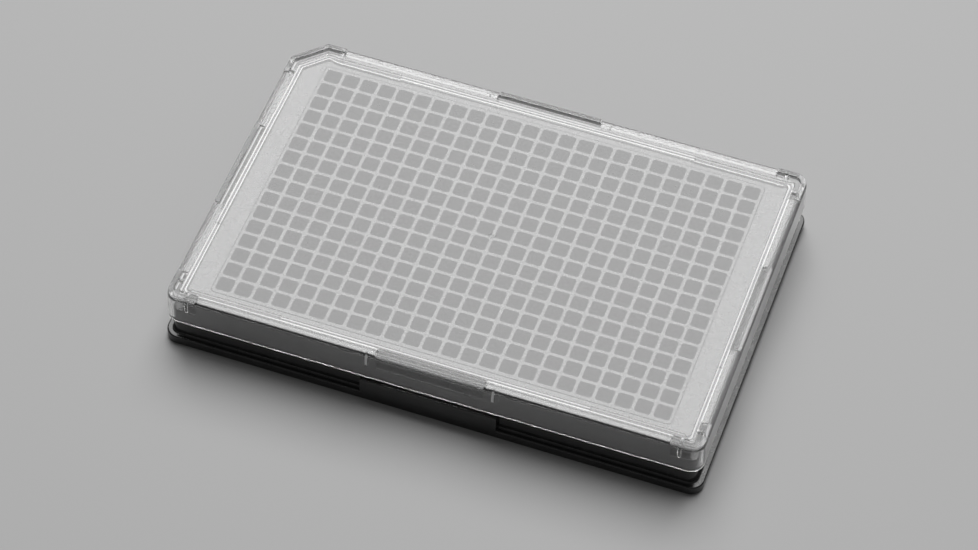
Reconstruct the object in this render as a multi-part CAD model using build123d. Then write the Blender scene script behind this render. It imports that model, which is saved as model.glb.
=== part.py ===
from build123d import *

import math
import os

# A 384-well plate with its clear lid resting on it.
#
# Two moulded pieces:
#   plate_body  opaque plate: well block, deck, skirt, base flange with a grip pad on each long side
#   lid         clear cover: flat panel, skirt, seating rib, raised rails and fins
#
# Millimetres, +Z up. The origin is the centre of the footprint on the surface the plate stands on.
# +X runs along the 24 columns, +Y along the 16 rows towards row A. The first well, and the cut
# corner of the lid and the plate wall, are at -X +Y.

# ---------------------------------------------------------------- plate, driving dimensions
footprint_x = 127.76
footprint_y = 85.48
footprint_radius = 3.18
plate_height = 14.22

columns = 24
rows = 16
well_pitch = 4.5
well_width = 3.66
well_depth = 11.5
well_floor_thickness = 1.0

block_length = 108.6
block_width = 73.0
block_radius = 1.0
rim_step = 0.12
deck_thickness = 1.3

flange_height = 2.41
flange_ledge_x = 1.60
flange_ledge_y = 1.30
wall_draft = 1.8
wall_thickness = 1.2
wall_radius = 2.0

pad_length = 32.6
pad_height = 6.75
notch_depth = 3.0
notch_inset = 3.15

# ---------------------------------------------------------------- lid, driving dimensions
lid_length = 126.5
lid_width = 84.9
lid_radius = 3.2
lid_cut = 7.05
lid_cut_radius = 0.8
lid_top = 15.75
lid_thickness = 1.1
lid_draft = 1.5
lid_edge_radius = 0.9
skirt_bottom = 8.0
skirt_inner_round = 0.8

# The seating rib under the panel, and the pips on it that touch the deck.
rib_inset = 2.85
rib_width = 1.2
rib_low_height = 0.2
rib_tall_start_x = 36.5
rib_tall_start_y = 17.8
pip_height = 0.1
pip_radius = 0.3
pip_offset = 2.0

# The rails near the edge, at the middle of each side and at the corners, and the channel beside them.
rail_rise = 0.3
rail_inset = 0.25
rail_width = 1.17
channel_width = 1.28
channel_sink = 0.4
rail_half_length = 12.7
rail_corner_x = 55.8
rail_corner_y = 34.2
rail_first_corner_x = 51.2
rail_first_corner_y = 30.5

# The fins beside each corner bridge the channel and run down inside the skirt. The grip fins are on
# the skirt alone, next to the rails of the long sides.
fin_width = 0.8
fin_drop = 3.0
fin_proud = 0.35
corner_fin_x = 58.0
corner_fin_y = 36.6
first_fin_x = 51.8
first_fin_y = 31.8
grip_fin_x = 14.9
grip_fin_drop = 3.0
grip_fin_proud = 0.15

gate_radius = 0.85
gate_height = 0.12

# How far a joined form reaches into what carries it, and the least radius of an inner corner.
root = 0.4
overlap = 0.1
least_radius = 0.8

# ---------------------------------------------------------------- derived dimensions
deck_top = plate_height - rim_step
deck_underside = deck_top - deck_thickness
well_floor = plate_height - well_depth
block_underside = well_floor - well_floor_thickness
lid_underside = lid_top - lid_thickness
rail_top = lid_top + rail_rise
rib_end = deck_top + pip_height
channel_inset = rail_inset + rail_width
cut_shrink = 2 - math.sqrt(2)


def outline(length, width, radius, cut=0.0, cut_radius=least_radius):
    """A rounded rectangle centred on the origin, with its -X +Y corner cut at 45 degrees."""
    x = length / 2
    y = width / 2
    if cut:
        first_corner = [(-x + cut, y), (-x, y - cut)]
        first_radii = [cut_radius, cut_radius]
    else:
        first_corner = [(-x, y)]
        first_radii = [radius]
    points = [(x, -y), (x, y), *first_corner, (-x, -y)]
    radii = [radius, radius, *first_radii, radius]
    return make_face(FilletPolyline(*points, radius=radii, close=True))


def prism(face, bottom, top, draft=0.0):
    """The face pulled straight up from one level to another, narrowing by the draft angle."""
    return extrude(Pos(0, 0, bottom) * face, amount=top - bottom, taper=draft)


def block(x_range, y_range, z_range):
    """A plain box between two corners."""
    low, high = zip(x_range, y_range, z_range)
    size = [b - a for a, b in zip(low, high)]
    centre = [(a + b) / 2 for a, b in zip(low, high)]
    return Pos(*centre) * Box(*size)


def lid_outline(inset, grow=0.0):
    """The lid's outline moved inwards by an even inset; grow widens it for the skirt's draft."""
    step = 2 * (grow - inset)
    return outline(
        lid_length + step,
        lid_width + step,
        max(lid_radius - inset, least_radius),
        lid_cut - inset * cut_shrink,
        lid_cut_radius,
    )


def rail_zones(bottom, top, grow=0.0):
    """The middle of each side and the four corners, as tall boxes; grow lengthens each of them."""
    reach_x = lid_length
    reach_y = lid_width
    middle = rail_half_length + grow
    z_range = (bottom, top)
    zones = block((-middle, middle), (-reach_y, reach_y), z_range)
    zones += block((-reach_x, reach_x), (-middle, middle), z_range)
    for side_x, side_y in ((1, 1), (1, -1), (-1, -1)):
        x_range = sorted((side_x * (rail_corner_x - grow), side_x * reach_x))
        y_range = sorted((side_y * (rail_corner_y - grow), side_y * reach_y))
        zones += block(x_range, y_range, z_range)
    x_range = (-reach_x, grow - rail_first_corner_x)
    y_range = (rail_first_corner_y - grow, reach_y)
    return zones + block(x_range, y_range, z_range)


def edge_band(outer_inset, inner_inset, bottom, top):
    """An upright band that follows the lid's outline between two insets."""
    return prism(lid_outline(outer_inset), bottom, top) - prism(lid_outline(inner_inset), bottom, top)


# ---------------------------------------------------------------- plate body
def wall_outline(inset):
    """The outline of the plate's wall above the flange, moved inwards by an even inset."""
    return outline(
        footprint_x - 2 * flange_ledge_x - 2 * inset,
        footprint_y - 2 * flange_ledge_y - 2 * inset,
        max(wall_radius - inset, least_radius),
        lid_cut - (flange_ledge_y + inset) * cut_shrink,
    )


def make_plate_body():
    """The opaque plate as one moulding."""
    flange = prism(outline(footprint_x, footprint_y, footprint_radius), 0, flange_height)
    wall = prism(wall_outline(0), flange_height, deck_top, wall_draft)
    body = flange + wall

    # A pad flush with the flange's face stands at the middle of each long side.
    pad_reach = footprint_y / 2
    pad_root = pad_reach - flange_ledge_y - wall_thickness / 2
    for side in (-1, 1):
        y_range = sorted((side * pad_root, side * pad_reach))
        body += block((-pad_length / 2, pad_length / 2), y_range, (0, pad_height))

    # The underside is hollow as far as the deck, the wall and the pads, with an even thickness.
    hollow = prism(wall_outline(wall_thickness), 0, deck_underside, wall_draft)
    flange_hollow = outline(
        footprint_x - 2 * wall_thickness,
        footprint_y - 2 * wall_thickness,
        footprint_radius - wall_thickness,
    )
    hollow += prism(flange_hollow, 0, flange_height - wall_thickness)
    for side in (-1, 1):
        y_range = sorted((side * (pad_root - wall_thickness), side * (pad_reach - wall_thickness)))
        x_half = pad_length / 2 - wall_thickness
        hollow += block((-x_half, x_half), y_range, (0, pad_height - wall_thickness))
    body -= hollow

    # Notches in the rim, at the middle of each side and at the corners, take the lid's lugs. Each has
    # its own floor and inner wall, so the deck stays closed.
    notch_floor = deck_top - notch_depth
    liner_bottom = notch_floor - wall_thickness
    liner = edge_band(0, notch_inset + wall_thickness, liner_bottom, deck_underside)
    liner &= rail_zones(liner_bottom, deck_underside, grow=wall_thickness)
    body += liner & prism(wall_outline(0), flange_height, deck_top, wall_draft)
    notch = edge_band(0, notch_inset, notch_floor, plate_height)
    body -= notch & rail_zones(notch_floor, plate_height)

    # The well block hangs from the deck and stands a little proud of it.
    body += prism(outline(block_length, block_width, block_radius), block_underside, plate_height)
    grid = GridLocations(well_pitch, well_pitch, columns, rows)
    wells = Sketch() + [place * Rectangle(well_width, well_width) for place in grid]
    body -= prism(wells, well_floor, plate_height)
    return body


# ---------------------------------------------------------------- lid
def make_rib():
    """The seating rib: a low ring all round, taller towards the corners, with pips on the tall part."""
    low_end = lid_underside - rib_low_height
    inner_inset = rib_inset + rib_width
    rib = edge_band(rib_inset, inner_inset, low_end, lid_underside)
    z_range = (rib_end, low_end)
    tall = edge_band(rib_inset, inner_inset, *z_range)
    tall -= block((-rib_tall_start_x, rib_tall_start_x), (-lid_width, lid_width), z_range)
    tall -= block((-lid_length, lid_length), (-rib_tall_start_y, rib_tall_start_y), z_range)
    pip_inset = rib_inset + rib_width / 2
    pip_x = lid_length / 2 - pip_inset
    pip_y = lid_width / 2 - pip_inset
    along_x = rib_tall_start_x + pip_offset
    along_y = rib_tall_start_y + pip_offset
    pip_places = [(x, y) for x in (-pip_x, pip_x) for y in (-along_y, along_y)]
    pip_places += [(x, y) for x in (-along_x, along_x) for y in (-pip_y, pip_y)]
    for x, y in pip_places:
        tall += Pos(x, y, (deck_top + low_end) / 2) * Cylinder(pip_radius, low_end - deck_top)
    return rib + tall


def make_fins():
    """Bars across the channel, flush with the panel, and the fins below them on the skirt's inner face."""
    skirt_x = lid_length / 2 - lid_thickness
    skirt_y = lid_width / 2 - lid_thickness
    half = fin_width / 2
    web_z = (lid_top - channel_sink - overlap, lid_top)
    low_z = (lid_underside - fin_drop, lid_underside)
    grip_z = (lid_underside - grip_fin_drop, lid_underside)
    places = [
        (corner_fin_x, corner_fin_y),
        (corner_fin_x, -corner_fin_y),
        (-corner_fin_x, -corner_fin_y),
        (-first_fin_x, first_fin_y),
    ]
    fins = []
    for x, y in places:
        side_x = math.copysign(1, x)
        side_y = math.copysign(1, y)
        web_y = sorted((side_y * (lid_width / 2 - rib_inset - overlap), side_y * (skirt_y + root)))
        web_x = sorted((side_x * (lid_length / 2 - rib_inset - overlap), side_x * (skirt_x + root)))
        low_y = sorted((side_y * (skirt_y - fin_proud), side_y * (skirt_y + root)))
        low_x = sorted((side_x * (skirt_x - fin_proud), side_x * (skirt_x + root)))
        fins.append(block((x - half, x + half), web_y, web_z))
        fins.append(block(web_x, (y - half, y + half), web_z))
        fins.append(block((x - half, x + half), low_y, low_z))
        fins.append(block(low_x, (y - half, y + half), low_z))
    for x in (-grip_fin_x, grip_fin_x):
        for side_y in (-1, 1):
            low_y = sorted((side_y * (skirt_y - grip_fin_proud), side_y * (skirt_y + root)))
            fins.append(block((x - half, x + half), low_y, grip_z))
    return fins


def make_lid():
    """The clear cover as one moulding."""
    growth = (lid_top - skirt_bottom) * math.tan(math.radians(lid_draft))
    shell = prism(lid_outline(0, growth), skirt_bottom, lid_top, lid_draft)
    top_edges = shell.edges().group_by(Axis.Z)[-1]
    shell = fillet(top_edges, lid_edge_radius)
    shell -= prism(lid_outline(lid_thickness, growth), skirt_bottom, lid_underside, lid_draft)
    middle = (Pos(0, 0, skirt_bottom) * lid_outline(lid_thickness / 2)).face()
    bottom_edges = shell.edges().group_by(Axis.Z)[0]
    inner_edges = bottom_edges.filter_by(lambda edge: middle.is_inside(edge.center()))
    shell = fillet(inner_edges, skirt_inner_round)
    shell += make_rib()

    # The rails stand just inside the edge, and the channel runs along their inner side.
    rail_foot = lid_top - lid_edge_radius - overlap
    shell += edge_band(rail_inset, channel_inset, rail_foot, rail_top) & rail_zones(rail_foot, rail_top)
    channel = edge_band(channel_inset, channel_inset + channel_width, lid_top - channel_sink, rail_top)
    shell -= channel & rail_zones(lid_top - channel_sink, rail_top)
    shell += make_fins()
    shell += Pos(0, 0, lid_top + gate_height / 2) * Cylinder(gate_radius, gate_height)
    return shell


parts = {"plate_body": make_plate_body(), "lid": make_lid()}

os.makedirs("parts", exist_ok=True)
for name, solid in parts.items():
    export_step(solid, f"parts/{name}.step")
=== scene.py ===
import math
from collections import namedtuple

import bmesh
import bpy
from mathutils import Matrix, Vector


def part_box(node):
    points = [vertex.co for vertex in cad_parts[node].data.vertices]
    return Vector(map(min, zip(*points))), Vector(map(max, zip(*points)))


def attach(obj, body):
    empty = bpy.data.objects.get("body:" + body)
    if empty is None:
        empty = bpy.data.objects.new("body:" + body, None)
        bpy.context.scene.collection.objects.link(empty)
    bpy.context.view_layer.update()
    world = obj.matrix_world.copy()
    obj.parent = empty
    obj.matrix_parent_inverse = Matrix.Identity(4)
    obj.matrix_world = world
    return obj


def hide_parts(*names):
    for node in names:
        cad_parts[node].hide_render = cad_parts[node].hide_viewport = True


# A black 384-well plate under its clear lid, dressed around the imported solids.
#
# Mesh sizes below are in millimetres, in the part's own frame, and MM turns them into metres.
# Each moulding is one mesh: a section carried round the piece's outline, whose shape changes along
# the way where the real one has rails, notches or grip pads.

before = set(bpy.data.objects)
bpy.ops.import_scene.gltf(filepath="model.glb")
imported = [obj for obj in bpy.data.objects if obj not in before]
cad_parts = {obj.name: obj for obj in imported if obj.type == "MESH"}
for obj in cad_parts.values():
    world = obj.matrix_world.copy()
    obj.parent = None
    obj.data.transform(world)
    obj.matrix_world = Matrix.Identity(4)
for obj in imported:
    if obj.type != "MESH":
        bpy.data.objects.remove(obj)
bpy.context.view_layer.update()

MM = 0.001
plate_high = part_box("plate_body")[1] / MM
lid_low, lid_high = (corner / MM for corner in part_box("lid"))

# ---------------------------------------------------------------- plate
FOOT_X = plate_high.x
FOOT_Y = plate_high.y
FOOT_RADIUS = 3.18
FLANGE_HEIGHT = 2.41
LEDGE_X = 1.6
LEDGE_Y = 1.3
WALL_RADIUS = 2.0
WALL_CUT = 6.29
WALL_DRAFT = math.tan(math.radians(1.8))
WALL = 1.2
PAD_HEIGHT = 6.75
RIM_RISE = 0.12
DECK_THICKNESS = 1.3
DECK_TOP = plate_high.z - RIM_RISE
DECK_UNDERSIDE = DECK_TOP - DECK_THICKNESS
NOTCH_DEPTH = 3.0
NOTCH_INSET = 2.16
DECK_RING = 4.2

COLUMNS = 24
ROWS = 16
PITCH = 4.5
WELL_TOP = plate_high.z
WELL_HALF = 1.83
WELL_RADIUS = 0.5
WELL_DEPTH = 11.5
WELL_NARROWING = 0.15
WELL_TIGHTENING = 0.4
WELL_RIM_ROUND = 0.13
WELL_FLOOR_ROUND = 0.4
WELL_FLOOR_RING = 0.8
WELL_FLOOR_THICKNESS = 1.0
CORNER_STEPS = 3
BLOCK_X = 54.3
BLOCK_Y = 36.5
BLOCK_RADIUS = 1.0
BLOCK_UNDERSIDE = WELL_TOP - WELL_DEPTH - WELL_FLOOR_THICKNESS
BLOCK_SURROUND = 0.4

# ---------------------------------------------------------------- lid
LID_X = 63.25
LID_Y = 42.45
LID_RADIUS = 3.2
LID_CUT = 7.05
RAIL_RISE = 0.3
LID_TOP = lid_high.z - RAIL_RISE
LID_THICKNESS = 1.1
LID_UNDERSIDE = LID_TOP - LID_THICKNESS
SKIRT_BOTTOM = lid_low.z
SKIRT_DRAFT = math.tan(math.radians(1.5))
RAIL_TOP = LID_TOP + RAIL_RISE
RAIL_OUT = 0.25
RAIL_IN = 1.5
CROWN_RADIUS = 1.0
CROWN_STEPS = 8
# How many of the crown's points stand on the rail, counted from its top.
RAIL_FOOT = 3
CHANNEL_IN = 2.7
CHANNEL_FLOOR = LID_TOP - 0.4
# The painted highlight at the foot of a rail, a white strip: how far in it reaches, how far up, and on
# which sides it is painted.
PAINTED_FOOT_GLINT = 0.45
PAINTED_GLINT_CLIMB = 0.28
PAINTED_GLINT_SIDES = ("north", "west", "cut_n", "cut_w")
RIB_INSET_LONG = 2.95
RIB_INSET_SHORT = 2.7
RIB_WIDTH = 1.2
RIB_LOW_END = LID_UNDERSIDE - 0.2
RIB_TALL_END = DECK_TOP + 0.1
RIB_TALL_IN = 0.3
# The painted highlight along each edge of the rib: a white strip this wide.
PAINTED_RIB_STRIP = 0.36
PANEL_RING = 4.5
LID_EDGE_ROUND = 0.12
SKIRT_OUTER_ROUND = 0.22
SKIRT_INNER_ROUND = 0.8
GATE_RADIUS = 0.85
GATE_HEIGHT = 0.12
GATE_STEPS = 28

# ---------------------------------------------------------------- where the sections change
RAIL_HALF = 12.7
RAIL_CORNER_X = 55.8
RAIL_CORNER_Y = 34.2
FIRST_CORNER_X = 51.2
FIRST_CORNER_Y = 30.5
TALL_X = 36.5
TALL_Y = 17.8
PAD_HALF = 16.3
# Half the length of the step in which a feature begins or ends.
STEP_HALF = 0.14
ARC_STEPS = 8

FIN_HALF = 0.4
FIN_PROUD = 0.35
FIN_END = LID_UNDERSIDE - 3.0
CORNER_FIN_X = 58.0
CORNER_FIN_Y = 36.6
FIRST_FIN_X = 51.8
FIRST_FIN_Y = 31.8
GRIP_FIN_X = 14.9
GRIP_FIN_HALF = 0.18
GRIP_FIN_PROUD = 0.15

# ---------------------------------------------------------------- finishes
PLASTIC_IOR = 1.59
SHEEN_ROUGHNESS = 0.32
CLEAR_TINT = 0.97
# The darkened tint of the painted shade, over the rib's middle and the channel floor.
PAINTED_SHADE_TINT = 0.25
TINT_SPREAD = 0.02
LAMP_TINT = 0.93
CLEAR_WAVE = 12.0
CLEAR_WAVE_HEIGHT = 0.002
BLACK = (0, 0, 0, 1)

# The lid's finishes, in the order of its material slots: clear panel, polished, white painted highlight,
# and plastic darkened as painted shade.
PANEL, POLISHED, PAINTED_HIGHLIGHT, PAINTED_SHADE = range(4)

# ---------------------------------------------------------------- floor, lamp and camera
# Places are in metres here. The lens and the sensor are in millimetres.
EYE = Vector((0.1544, -0.4793, 0.6184))
RIGHT = Vector((0.94307, 0.33192, 0.02123))
DOWN = Vector((0.26993, -0.72651, -0.63192))
FORWARD = Vector((-0.19433, 0.60167, -0.77475))
LENS = 126.87
SENSOR = 36.0
CLIP_START = 0.01

FLOOR_HALF = 3
FLOOR_TONE = 0.5
KEY_FAR = 1.6
KEY_SIZE = 1.44
KEY_LEVEL = 4.05
KEY_LIFT = 0.12
KEY_SIDE = 0.05
WORLD_LEVEL = 0.1


# ================================================================ outlines and sweeps
# Vertices closer than these, in metres, become one: while a sweep is made, and at the end.
SAME_PLACE = 1e-8
MERGE_WITHIN = 1e-7
SHARP_ANGLE = 35
FLAT_WEIGHT = 80
LEAST_RADIUS = 0.8
CUT_ROUND = 0.8
CUT_TANGENT = math.tan(math.radians(22.5))
CUT_SHRINK = 2 - math.sqrt(2)
ROUND_SHARE = 0.48

# Where each corner's arc starts and how far it turns, in degrees anticlockwise from +X.
ARCS = {"ne": (0, 90), "cut_n": (90, 45), "cut_w": (135, 45), "sw": (180, 90), "se": (270, 90)}

# A place on the outline, and how much of each feature stands there, from 0 for none to 1.
Station = namedtuple("Station", "place t rail tall pad fin grip")


class Outline:
    """A rounded rectangle seen from above, with its -X +Y corner cut at 45 degrees if cut isn't 0."""

    def __init__(self, half_x, half_y, radius, cut=0.0):
        self.half_x = half_x
        self.half_y = half_y
        self.radius = radius
        self.cut = cut

    def reach(self, inset):
        """How far along either side the cut corner's arcs begin, counted from the sharp corner."""
        if not self.cut:
            return max(self.radius - inset, LEAST_RADIUS)
        return self.cut - inset * CUT_SHRINK + CUT_ROUND * CUT_TANGENT

    def point(self, station, inset):
        """The point of one station, moved inwards by the inset."""
        x = self.half_x - inset
        y = self.half_y - inset
        radius = max(self.radius - inset, LEAST_RADIUS)
        reach = self.reach(inset)
        if station.place in ("north", "south"):
            low = reach - x if station.place == "north" else radius - x
            t = min(max(station.t, low), x - radius)
            return t, math.copysign(y, 1 if station.place == "north" else -1)
        if station.place in ("east", "west"):
            high = y - (reach if station.place == "west" else radius)
            t = min(max(station.t, radius - y), high)
            return math.copysign(x, 1 if station.place == "east" else -1), t
        start, turn = ARCS[station.place]
        middle = math.radians(start + turn / 2)
        angle = math.radians(start + turn * station.t)
        centre_x = math.copysign(x - radius, math.cos(middle))
        centre_y = math.copysign(y - radius, math.sin(middle))
        if self.cut and station.place in ("cut_n", "cut_w"):
            radius = CUT_ROUND
            centre_x = (reach if station.place == "cut_n" else radius) - x
            centre_y = y - (radius if station.place == "cut_n" else reach)
        return centre_x + radius * math.cos(angle), centre_y + radius * math.sin(angle)


def ease(value, edge):
    """0 below the edge and 1 above it, with a short smooth step between."""
    t = min(max((value - edge) / (2 * STEP_HALF) + 0.5, 0.0), 1.0)
    return t * t * (3 - 2 * t)


def within(value, centre, half):
    """1 within a half width of a centre and 0 outside it, with the same short steps."""
    return 1 - ease(abs(value - centre), half)


def make_stations():
    """The stations round the outline, anticlockwise from the east side, close together at each step."""
    offsets = [STEP_HALF * k / 2 for k in (-2, -1, 0, 1, 2)]
    stations = []

    def side(place, fins, ends, tall_edge, padded=False, backwards=False):
        """One side, between its corners' rails; a padded one has the grip pad and its small fins."""
        edges = [-RAIL_HALF, RAIL_HALF, -tall_edge, tall_edge, *ends]
        if padded:
            edges += [-PAD_HALF, PAD_HALF]
            for grip_fin in (-GRIP_FIN_X, GRIP_FIN_X):
                edges += [grip_fin - GRIP_FIN_HALF, grip_fin + GRIP_FIN_HALF]
        for fin in fins:
            edges += [fin - FIN_HALF, fin + FIN_HALF]
        for t in sorted({edge + offset for edge in edges for offset in offsets}, reverse=backwards):
            rail = max(1 - ease(abs(t), RAIL_HALF), 1 - ease(t, ends[0]), ease(t, ends[1]))
            tall = ease(abs(t), tall_edge)
            pad = 1 - ease(abs(t), PAD_HALF) if padded else 0.0
            fin = max(within(t, centre, FIN_HALF) for centre in fins)
            grip = within(abs(t), GRIP_FIN_X, GRIP_FIN_HALF) if padded else 0.0
            stations.append(Station(place, t, rail, tall, pad, fin, grip))

    def corner(place, steps):
        """One corner, which has a rail and the rib's tall end all along it."""
        for k in range(steps + 1):
            stations.append(Station(place, k / steps, 1.0, 1.0, 0.0, 0.0, 0.0))

    x_fin, y_fin = CORNER_FIN_X, CORNER_FIN_Y
    x_end, y_end = RAIL_CORNER_X, RAIL_CORNER_Y
    side("east", (-y_fin, y_fin), (-y_end, y_end), TALL_Y)
    corner("ne", ARC_STEPS)
    side("north", (-FIRST_FIN_X, x_fin), (-FIRST_CORNER_X, x_end), TALL_X, padded=True, backwards=True)
    corner("cut_n", ARC_STEPS // 2)
    corner("cut_w", ARC_STEPS // 2)
    side("west", (-y_fin, FIRST_FIN_Y), (-y_end, FIRST_CORNER_Y), TALL_Y, backwards=True)
    corner("sw", ARC_STEPS)
    side("south", (-x_fin, x_fin), (-x_end, x_end), TALL_X, padded=True)
    corner("se", ARC_STEPS)
    return stations


def mix(a, b, share):
    """The value that lies a share of the way from a to b."""
    return a + (b - a) * share


def bend(corners):
    """A section's corners (inset, z, radius, steps) with each one rounded. The count stays the same."""
    points = []
    last = len(corners) - 1
    for k, (u, z, radius, steps) in enumerate(corners):
        here = Vector((u, z))
        if k in (0, last) or not steps:
            points.append(here)
            continue
        before = Vector(corners[k - 1][:2]) - here
        after = Vector(corners[k + 1][:2]) - here
        start = here + before.normalized() * min(radius, ROUND_SHARE * before.length)
        end = here + after.normalized() * min(radius, ROUND_SHARE * after.length)
        for s in range(steps + 1):
            t = s / steps
            points.append(start * (1 - t) ** 2 + here * (2 * t * (1 - t)) + end * t**2)
    return points


def add_point(bm, point, neighbours):
    """A vertex at a point in millimetres, or the neighbour that is already there."""
    place = Vector(point) * MM
    for vertex in neighbours:
        if (vertex.co - place).length < SAME_PLACE:
            return vertex
    return bm.verts.new(place)


def sweep(bm, stations, section, place, finish=None):
    """Carries a section round the stations. Returns the first and last ring of vertices."""
    rows = []
    for station in stations:
        points = bend(section(station))
        row = []
        for k, (u, z) in enumerate(points):
            neighbours = {rows[i][2][k] for i in (0, -1)} if rows else ()
            row.append(add_point(bm, (*place(station, u), z), neighbours))
        rows.append((station, points, row))
    for (station, points, row), (_, _, following) in zip(rows, rows[1:] + rows[:1]):
        for k in range(len(row) - 1):
            corners = list(dict.fromkeys((row[k], row[k + 1], following[k + 1], following[k])))
            if len(corners) > 2:
                face = bm.faces.new(corners)
                face.material_index = finish(station, (points[k] + points[k + 1]) / 2) if finish else 0
    return [list(dict.fromkeys(row[end] for _, _, row in rows)) for end in (0, -1)]


def ring_edges(ring):
    """The edges between neighbours in a closed ring of vertices."""
    edges = []
    for a, b in zip(ring, ring[1:] + ring[:1]):
        for edge in a.link_edges:
            if edge.other_vert(a) is b:
                edges.append(edge)
    return edges


def fill_between(bm, *rings):
    """Fills the flat space between an outer ring and the ring inside it."""
    edges = [edge for ring in rings for edge in ring_edges(ring)]
    bmesh.ops.triangle_fill(bm, use_beauty=True, edges=edges)


def to_object(bm, name):
    """A smooth-shaded object whose edges stay sharp above SHARP_ANGLE."""
    bmesh.ops.remove_doubles(bm, verts=bm.verts, dist=MERGE_WITHIN)
    bmesh.ops.recalc_face_normals(bm, faces=bm.faces)
    mesh = bpy.data.meshes.new(name)
    bm.to_mesh(mesh)
    bm.free()
    mesh.shade_smooth()
    mesh.set_sharp_from_angle(angle=math.radians(SHARP_ANGLE))
    thing = bpy.data.objects.new(name, mesh)
    bpy.context.collection.objects.link(thing)
    return thing


def keep_flats(thing):
    """Lets the large flat faces set the normals beside them, so that they stay flat."""
    weighted = thing.modifiers.new("flats", "WEIGHTED_NORMAL")
    weighted.mode = "FACE_AREA"
    weighted.weight = FLAT_WEIGHT
    weighted.keep_sharp = True


STATIONS = make_stations()


# ================================================================ plate
FOOT = Outline(FOOT_X, FOOT_Y, FOOT_RADIUS)
WALL_LINE = Outline(FOOT_X - LEDGE_X, FOOT_Y - LEDGE_Y, WALL_RADIUS, WALL_CUT)


def plate_point(station, u):
    """Insets count inwards from the foot of the wall; -LEDGE_Y is the outer face of the flange."""
    if u < -LEDGE_Y / 2:
        return FOOT.point(station, u + LEDGE_Y)
    return WALL_LINE.point(station, u)


def wall_inset(z):
    """How far the drafted wall leans inwards at a height."""
    return max(z - FLANGE_HEIGHT, 0.0) * WALL_DRAFT


def plate_section(station):
    """From the deck outwards, down the wall and the flange, and back up the hollow underside."""
    rail, pad = station.rail, station.pad
    rim = mix(DECK_TOP, DECK_TOP - NOTCH_DEPTH, rail)
    pad_u = mix(wall_inset(PAD_HEIGHT), -LEDGE_Y, pad)
    low_u = mix(0.0, -LEDGE_Y, pad)
    inner = WALL - LEDGE_Y
    shelf = mix(FLANGE_HEIGHT, PAD_HEIGHT, pad) - WALL
    liner = mix(DECK_UNDERSIDE, rim - WALL, rail)
    liner_u = NOTCH_INSET + WALL
    return [
        (DECK_RING, DECK_TOP, 0, 0),
        (NOTCH_INSET, DECK_TOP, 0.15, 2),
        (NOTCH_INSET - 0.02, rim, 0.2, 2),
        (wall_inset(rim), rim, 0.3, 3),
        (wall_inset(PAD_HEIGHT), PAD_HEIGHT, 0.3, 2),
        (pad_u, PAD_HEIGHT - 0.01, 0.35, 3),
        (low_u, FLANGE_HEIGHT + 0.01, 0.5, 3),
        (-LEDGE_Y, FLANGE_HEIGHT, 0.35, 3),
        (-LEDGE_Y, 0.0, 0.3, 3),
        (-LEDGE_Y + WALL, 0.0, 0.2, 2),
        (inner, shelf, 0.2, 2),
        (WALL + 0.01, shelf + 0.01, 0.2, 2),
        (WALL + wall_inset(liner), liner, 0.3, 2),
        (liner_u, liner, 0.2, 2),
        (liner_u + 0.02, DECK_UNDERSIDE, 0.2, 2),
        (DECK_RING, DECK_UNDERSIDE, 0, 0),
    ]


def well_outline(half, radius):
    """The rounded square of a well, anticlockwise, as one list of points for each corner."""
    corners = []
    for k, (sign_x, sign_y) in enumerate(((1, 1), (-1, 1), (-1, -1), (1, -1))):
        centre = Vector((sign_x * (half - radius), sign_y * (half - radius)))
        arc = []
        for s in range(CORNER_STEPS + 1):
            angle = math.radians(90 * (k + s / CORNER_STEPS))
            arc.append(centre + radius * Vector((math.cos(angle), math.sin(angle))))
        corners.append(arc)
    return corners


def make_wells(bm):
    """All the wells with their rounded rims, and the top of the walls between them."""
    section = bend(
        [
            (-WELL_RIM_ROUND, WELL_TOP, 0, 0),
            (0.0, WELL_TOP, WELL_RIM_ROUND, 3),
            (WELL_NARROWING, WELL_TOP - WELL_DEPTH, WELL_FLOOR_ROUND, 2),
            (WELL_NARROWING + WELL_FLOOR_RING, WELL_TOP - WELL_DEPTH, 0, 0),
        ]
    )
    rings = [(z, well_outline(WELL_HALF - u, WELL_RADIUS - u * WELL_TIGHTENING)) for u, z in section]
    grid = {}

    def grid_vertex(column, row):
        """The vertex where four wells' top faces meet."""
        if (column, row) not in grid:
            x = (column - COLUMNS / 2) * PITCH
            y = (row - ROWS / 2) * PITCH
            grid[column, row] = bm.verts.new((x * MM, y * MM, WELL_TOP * MM))
        return grid[column, row]

    for column in range(COLUMNS):
        for row in range(ROWS):
            x = (column - (COLUMNS - 1) / 2) * PITCH
            y = (row - (ROWS - 1) / 2) * PITCH
            posts = [
                grid_vertex(column + 1, row + 1),
                grid_vertex(column, row + 1),
                grid_vertex(column, row),
                grid_vertex(column + 1, row),
            ]
            loops = []
            for z, corners in rings:
                loop = []
                for arc in corners:
                    loop.append([bm.verts.new(((x + p.x) * MM, (y + p.y) * MM, z * MM)) for p in arc])
                loops.append(loop)
            for k in range(4):
                arc = loops[0][k]
                for a, b in zip(arc, arc[1:]):
                    bm.faces.new((a, b, posts[k]))
                bm.faces.new((arc[-1], loops[0][(k + 1) % 4][0], posts[(k + 1) % 4], posts[k]))
            flat = [[vertex for arc in loop for vertex in arc] for loop in loops]
            for upper, lower in zip(flat, flat[1:]):
                for k in range(len(upper)):
                    following = (k + 1) % len(upper)
                    bm.faces.new((upper[k], upper[following], lower[following], lower[k]))
            bm.faces.new(flat[-1])
    edge = [grid[column, 0] for column in range(COLUMNS)]
    edge += [grid[COLUMNS, row] for row in range(ROWS)]
    edge += [grid[column, ROWS] for column in range(COLUMNS, 0, -1)]
    edge += [grid[0, row] for row in range(ROWS, 0, -1)]
    return edge


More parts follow.
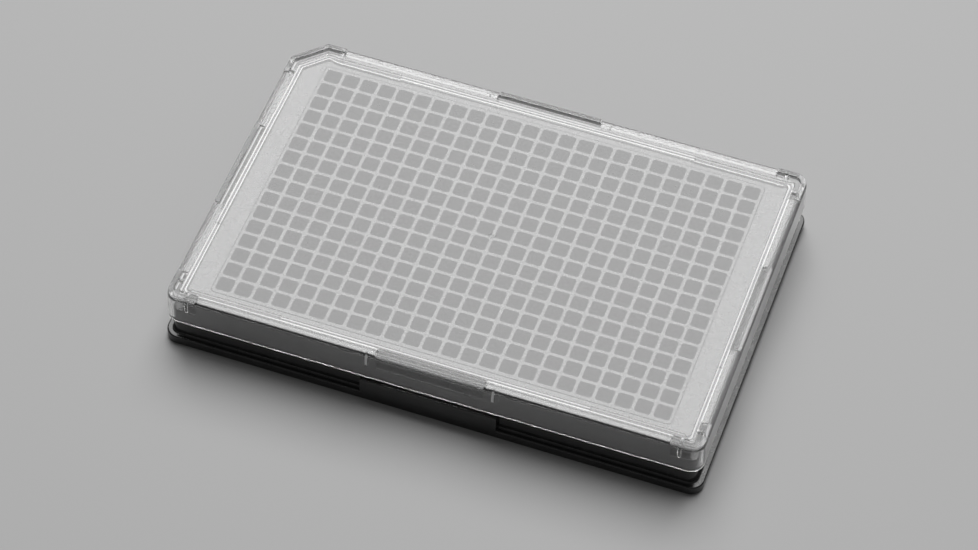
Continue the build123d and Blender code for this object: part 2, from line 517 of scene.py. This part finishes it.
def make_plate():
    """The black plate as one closed mesh."""
    bm = bmesh.new()
    deck_ring, under_ring = sweep(bm, STATIONS, plate_section, plate_point)
    corners = [s for s in STATIONS if s.place in ARCS]
    block = Outline(BLOCK_X, BLOCK_Y, BLOCK_RADIUS)

    def top_section(_):
        """From the top of the wells, down the rim round them, to the deck."""
        return [
            (0.3, WELL_TOP, 0, 0),
            (0.0, WELL_TOP, 0.12, 3),
            (-0.1, DECK_TOP, 0.12, 3),
            (-BLOCK_SURROUND, DECK_TOP, 0, 0),
        ]

    def under_section(_):
        """From the deck's underside, down the side of the well block, to the block's underside."""
        return [
            (-BLOCK_SURROUND, DECK_UNDERSIDE, 0, 0),
            (0.0, DECK_UNDERSIDE, 0.3, 2),
            (0.0, BLOCK_UNDERSIDE, 0.4, 3),
            (1.0, BLOCK_UNDERSIDE, 0, 0),
        ]

    top_inner, top_outer = sweep(bm, corners, top_section, block.point)
    under_outer, under_inner = sweep(bm, corners, under_section, block.point)
    fill_between(bm, make_wells(bm), top_inner)
    fill_between(bm, deck_ring, top_outer)
    fill_between(bm, under_ring, under_outer)
    bm.faces.new(under_inner)
    plate = to_object(bm, "plate")
    keep_flats(plate)
    return plate


# ================================================================ lid
LID_LINE = Outline(LID_X, LID_Y, LID_RADIUS, LID_CUT)


def crown_points(rail):
    """The lid's rounded top edge, and the outer face of the rail where one stands on it."""
    rise = RAIL_TOP - LID_TOP
    wall = [(LID_EDGE_ROUND, rise), (0.03, rise - 0.03), (0.0, rise - LID_EDGE_ROUND)]
    points = []
    for k in range(CROWN_STEPS + 1):
        turn = math.radians(90 * k / CROWN_STEPS)
        fall = CROWN_RADIUS * (1 - math.cos(turn))
        u, z = CROWN_RADIUS * (1 - math.sin(turn)), -fall
        if k < RAIL_FOOT:
            u, z = mix(u, RAIL_OUT + wall[k][0], rail), mix(z, wall[k][1], rail)
        elif k == RAIL_FOOT:
            u = mix(u, RAIL_OUT, rail)
        points.append((u - fall * SKIRT_DRAFT, LID_TOP + z, 0, 0))
    return points


def rib_faces(station):
    """The insets of the rib's outer and inner faces; on the long sides its tall ends are wider."""
    if station.place in ("north", "south"):
        return RIB_INSET_LONG, RIB_INSET_LONG + RIB_WIDTH + RIB_TALL_IN * station.tall
    return RIB_INSET_SHORT, RIB_INSET_SHORT + RIB_WIDTH


def lid_section(station):
    """From the panel's top outwards, over the rail, down the skirt, and back in under the panel."""
    rail, fin, grip = station.rail, station.fin, station.grip
    grow = (LID_TOP - SKIRT_BOTTOM) * SKIRT_DRAFT
    crown = mix(LID_TOP, RAIL_TOP, rail)
    floor = mix(mix(LID_TOP, CHANNEL_FLOOR, rail), LID_TOP, fin)
    rib_end = mix(RIB_LOW_END, RIB_TALL_END, station.tall)
    rib_out, rib_in = rib_faces(station)
    proud = fin * FIN_PROUD + grip * GRIP_FIN_PROUD
    fin_grow = (LID_TOP - FIN_END) * SKIRT_DRAFT
    return [
        (PANEL_RING, LID_TOP, 0, 0),
        (CHANNEL_IN + 0.03, LID_TOP, LID_EDGE_ROUND, 2),
        (CHANNEL_IN - 0.02, floor, LID_EDGE_ROUND, 2),
        (RAIL_IN + PAINTED_FOOT_GLINT, floor, 0, 0),
        (RAIL_IN + 0.03, floor, LID_EDGE_ROUND, 2),
        (RAIL_IN + 0.015, mix(floor, crown, PAINTED_GLINT_CLIMB), 0, 0),
        (RAIL_IN - 0.02, crown, LID_EDGE_ROUND, 3),
        *crown_points(rail),
        (-grow, SKIRT_BOTTOM, SKIRT_OUTER_ROUND, 3),
        (LID_THICKNESS - grow, SKIRT_BOTTOM, SKIRT_INNER_ROUND, 6),
        (LID_THICKNESS - fin_grow, FIN_END - 0.12, 0, 0),
        (LID_THICKNESS - fin_grow + proud, FIN_END, 0, 0),
        (LID_THICKNESS + proud, LID_UNDERSIDE, 0.35, 4),
        (rib_out - 0.02, LID_UNDERSIDE, 0.14, 3),
        (rib_out + 0.02, rib_end, 0.1, 2),
        (rib_out + PAINTED_RIB_STRIP, rib_end, 0, 0),
        (rib_in - PAINTED_RIB_STRIP, rib_end, 0, 0),
        (rib_in - 0.02, rib_end, 0.1, 2),
        (rib_in, LID_UNDERSIDE, 0.14, 3),
        (PANEL_RING, LID_UNDERSIDE, 0, 0),
    ]


ABSENT = 0.05
COMPLETE = 0.95


def partial(share):
    """Whether a feature is in the step between absent and complete."""
    return ABSENT < share < COMPLETE


def lid_finish(station, middle):
    """Which finish a face of the lid has, from the place of its middle in the section; the white strips
    are painted highlight and the darkened faces painted shade.
    """
    u, z = middle
    rib_out, rib_in = rib_faces(station)
    if u > rib_in or (u > CHANNEL_IN + 0.1 and z > LID_TOP - 0.01):
        return PANEL
    # The rib's edges get painted highlight, and its middle painted shade.
    if rib_out < u < rib_in and z < LID_UNDERSIDE - 0.12:
        return PAINTED_HIGHLIGHT if min(u - rib_out, rib_in - u) < PAINTED_RIB_STRIP else PAINTED_SHADE
    # The channel gets painted highlight at a fin's steps and at a rail's foot on some sides, and painted
    # shade elsewhere.
    in_channel = RAIL_IN < u < CHANNEL_IN and z > CHANNEL_FLOOR - 0.05
    if in_channel and partial(station.fin):
        return PAINTED_HIGHLIGHT
    if in_channel and station.rail > COMPLETE and station.fin < ABSENT:
        painted_glint = station.place in PAINTED_GLINT_SIDES and u < RAIL_IN + PAINTED_FOOT_GLINT
        return PAINTED_HIGHLIGHT if painted_glint else PAINTED_SHADE
    # The grip fins' inner faces get painted highlight.
    if station.grip > ABSENT and u > LID_THICKNESS - 0.15 and FIN_END < z < LID_UNDERSIDE - 0.2:
        return PAINTED_HIGHLIGHT
    # The steps at a rail's ends get painted highlight.
    if partial(station.rail) and z > LID_TOP + 0.1:
        return PAINTED_HIGHLIGHT
    return POLISHED


def gate_rings(bm):
    """The rings of the gate's scar, a low uneven blister at the middle of the panel."""
    # Shares of the radius and of the height.
    profile = [(1.0, 0.0), (0.93, 0.8), (0.75, 1.0), (0.5, 0.75), (0.3, 0.2)]
    rings = []
    for out, rise in profile:
        ring = []
        for k in range(GATE_STEPS):
            angle = math.tau * k / GATE_STEPS
            uneven = 1 + 0.07 * math.sin(3 * angle + 0.5) + 0.05 * math.sin(7 * angle)
            radius = GATE_RADIUS * out * uneven
            x, y, z = radius * math.cos(angle), radius * math.sin(angle), LID_TOP + GATE_HEIGHT * rise
            ring.append(bm.verts.new((x * MM, y * MM, z * MM)))
        rings.append(ring)
    for outer, inner in zip(rings, rings[1:]):
        for k in range(GATE_STEPS):
            following = (k + 1) % GATE_STEPS
            bm.faces.new((outer[k], outer[following], inner[following], inner[k]))
    bm.faces.new(rings[-1])
    return rings[0]


def make_lid():
    """The clear lid as one closed mesh."""
    bm = bmesh.new()
    top_ring, under_ring = sweep(bm, STATIONS, lid_section, LID_LINE.point, lid_finish)
    fill_between(bm, top_ring, gate_rings(bm))
    bm.faces.new(under_ring)
    lid = to_object(bm, "cover")
    keep_flats(lid)
    return lid


# ================================================================ materials
def new_node(tree, kind, **sockets):
    """A node of a kind with values on its own sockets."""
    node = tree.nodes.new(kind)
    for name, value in sockets.items():
        node.inputs[name.replace("_", " ")].default_value = value
    return node


def principled(name, **sockets):
    """A material of one shader, with values on the shader's own sockets."""
    material = bpy.data.materials.new(name)
    material.use_nodes = True
    shader = material.node_tree.nodes["Principled BSDF"]
    shader.inputs["IOR"].default_value = PLASTIC_IOR
    for socket, value in sockets.items():
        shader.inputs[socket.replace("_", " ")].default_value = value
    return material


def sheened(name, roughness, **sockets):
    """A clear plastic's shader, whose faces have a soft sheen in place of a sharp reflection."""
    return principled(
        name,
        Roughness=roughness,
        Specular_Tint=BLACK,
        Coat_Weight=1.0,
        Coat_Roughness=SHEEN_ROUGHNESS,
        Coat_IOR=PLASTIC_IOR,
        **sockets,
    )


def noise(tree, size):
    """A noise texture in the piece's own coordinates, whose features are about a size in millimetres."""
    place = tree.nodes.new("ShaderNodeTexCoord")
    texture = new_node(tree, "ShaderNodeTexNoise", Scale=1 / (size * MM), Detail=2.0)
    tree.links.new(place.outputs["Object"], texture.inputs["Vector"])
    return texture


def vary(material, socket, size, low, high):
    """Varies a socket of the shader between two values over a surface."""
    tree = material.node_tree
    spread = new_node(tree, "ShaderNodeMapRange", From_Min=0.3, From_Max=0.7, To_Min=low, To_Max=high)
    tree.links.new(noise(tree, size).outputs["Fac"], spread.inputs["Value"])
    tree.links.new(spread.outputs["Result"], tree.nodes["Principled BSDF"].inputs[socket])


def ripple(material, size, height):
    """Gives a surface a faint unevenness of a size and height in millimetres."""
    tree = material.node_tree
    bump_node = new_node(tree, "ShaderNodeBump", Strength=1.0, Distance=height * MM)
    tree.links.new(noise(tree, size).outputs["Fac"], bump_node.inputs["Height"])
    tree.links.new(bump_node.outputs["Normal"], tree.nodes["Principled BSDF"].inputs["Normal"])


def let_lamps_through(material, shader):
    """Lamps reach what lies under clear plastic: only their rays, and soft bounces, pass it unbent."""
    tree = material.node_tree
    path = tree.nodes.new("ShaderNodeLightPath")

    def combine(operation, first, second):
        """The result of an operation on two values, each a number or another node's output."""
        node = tree.nodes.new("ShaderNodeMath")
        node.operation = operation
        for socket, value in zip(node.inputs, (first, second)):
            if isinstance(value, float):
                socket.default_value = value
            else:
                tree.links.new(value, socket)
        return node.outputs[0]

    soft = combine("MAXIMUM", path.outputs["Is Diffuse Ray"], path.outputs["Is Glossy Ray"])
    blurred = combine("MULTIPLY", soft, combine("SUBTRACT", 1.0, path.outputs["Is Singular Ray"]))
    passes = combine("MAXIMUM", path.outputs["Is Shadow Ray"], blurred)
    clear = new_node(tree, "ShaderNodeBsdfTransparent", Color=(LAMP_TINT, LAMP_TINT, LAMP_TINT, 1))
    blend = tree.nodes.new("ShaderNodeMixShader")
    tree.links.new(passes, blend.inputs[0])
    tree.links.new(shader.outputs[0], blend.inputs[1])
    tree.links.new(clear.outputs[0], blend.inputs[2])
    tree.links.new(blend.outputs[0], tree.nodes["Material Output"].inputs["Surface"])


def black_plastic():
    """Semi-gloss black polystyrene with the faint flow marks of a moulding."""
    material = principled("black_plastic")
    vary(material, "Base Color", size=2.5, low=0.014, high=0.026)
    vary(material, "Roughness", size=6.0, low=0.16, high=0.24)
    ripple(material, size=7.0, height=0.002)
    return material


def clear_plastic(name, tint):
    """Polished clear polystyrene, with the slight waviness of a moulded sheet. A low tint darkens it as
    painted shade.
    """
    material = sheened(name, roughness=0.0, Transmission_Weight=1.0)
    vary(material, "Base Color", size=4.0, low=tint, high=tint + TINT_SPREAD)
    ripple(material, CLEAR_WAVE, CLEAR_WAVE_HEIGHT)
    let_lamps_through(material, material.node_tree.nodes["Principled BSDF"])
    return material


def clear_panel():
    """The lid's flat panel: seen through without a mirror image, under the soft sheen of its faces."""
    material = sheened("clear_panel", roughness=SHEEN_ROUGHNESS, Base_Color=BLACK)
    ripple(material, CLEAR_WAVE, CLEAR_WAVE_HEIGHT)
    tree = material.node_tree
    sheen = tree.nodes["Principled BSDF"]
    through = new_node(tree, "ShaderNodeBsdfRefraction", Roughness=0.0, IOR=PLASTIC_IOR)
    tint = new_node(tree, "ShaderNodeMapRange", To_Min=0.92, To_Max=0.94)
    tree.links.new(noise(tree, size=4.0).outputs["Fac"], tint.inputs["Value"])
    tree.links.new(tint.outputs["Result"], through.inputs["Color"])
    tree.links.new(sheen.inputs["Normal"].links[0].from_socket, through.inputs["Normal"])
    both = tree.nodes.new("ShaderNodeAddShader")
    tree.links.new(through.outputs[0], both.inputs[0])
    tree.links.new(sheen.outputs[0], both.inputs[1])
    let_lamps_through(material, both)
    return material


def painted_highlight_plastic():
    """Painted highlight: opaque white on the clear plastic's fine edges, in place of the light that the
    sheet carries to them.
    """
    material = principled("painted_highlight_edge", Roughness=0.6)
    vary(material, "Base Color", size=0.6, low=0.9, high=1.0)
    ripple(material, size=0.3, height=0.01)
    return material


plate = make_plate()
plate.data.materials.append(black_plastic())
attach(plate, "root")
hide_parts("plate_body")

lid = make_lid()
lid.data.materials.append(clear_panel())
lid.data.materials.append(clear_plastic("clear_plastic", CLEAR_TINT))
# The white edges are painted highlight.
lid.data.materials.append(painted_highlight_plastic())
# The darkened copy of the clear plastic is painted shade.
lid.data.materials.append(clear_plastic("painted_shade_plastic", PAINTED_SHADE_TINT))
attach(lid, "root")
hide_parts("lid")


# ================================================================ floor, light and camera
def make_camera():
    """The camera, turned by where its own right, down and forward directions point."""
    data = bpy.data.cameras.new("camera")
    data.lens = LENS
    data.sensor_width = SENSOR
    data.clip_start = CLIP_START
    camera = bpy.data.objects.new("camera", data)
    bpy.context.collection.objects.link(camera)
    turn = Matrix((RIGHT, -DOWN, -FORWARD)).transposed().to_4x4()
    camera.matrix_world = Matrix.Translation(EYE) @ turn
    bpy.context.scene.camera = camera


def make_floor():
    """The plain floor that the plate stands on."""
    corners = [(x * FLOOR_HALF, y * FLOOR_HALF, 0) for x, y in ((-1, -1), (1, -1), (1, 1), (-1, 1))]
    mesh = bpy.data.meshes.new("floor")
    mesh.from_pydata(corners, [], [range(len(corners))])
    floor = bpy.data.objects.new("floor", mesh)
    bpy.context.collection.objects.link(floor)
    tone = (FLOOR_TONE, FLOOR_TONE, FLOOR_TONE, 1)
    floor.data.materials.append(principled("floor_paint", Roughness=0.6, Base_Color=tone))


def soft_box(name, direction, distance, size, radiance):
    """A square lamp of a given brightness that faces the object."""
    data = bpy.data.lights.new(name, "AREA")
    data.size = size
    data.energy = radiance * math.pi * size**2
    lamp = bpy.data.objects.new(name, data)
    bpy.context.collection.objects.link(lamp)
    lamp.location = direction.normalized() * distance
    lamp.rotation_euler = (-direction).to_track_quat("-Z", "Y").to_euler()


def make_world():
    """An even dim light from all round."""
    world = bpy.data.worlds.new("world")
    bpy.context.scene.world = world
    world.use_nodes = True
    background = world.node_tree.nodes["Background"]
    background.inputs["Color"].default_value = (1, 1, 1, 1)
    background.inputs["Strength"].default_value = WORLD_LEVEL


make_camera()
make_floor()
# The lamp stands behind the plate, about where the lid would mirror it into the camera.
soft_box("key", Vector((KEY_SIDE - EYE.x, -EYE.y, EYE.z + KEY_LIFT)), KEY_FAR, KEY_SIZE, KEY_LEVEL)
make_world()
bpy.context.scene.view_settings.view_transform = "Standard"
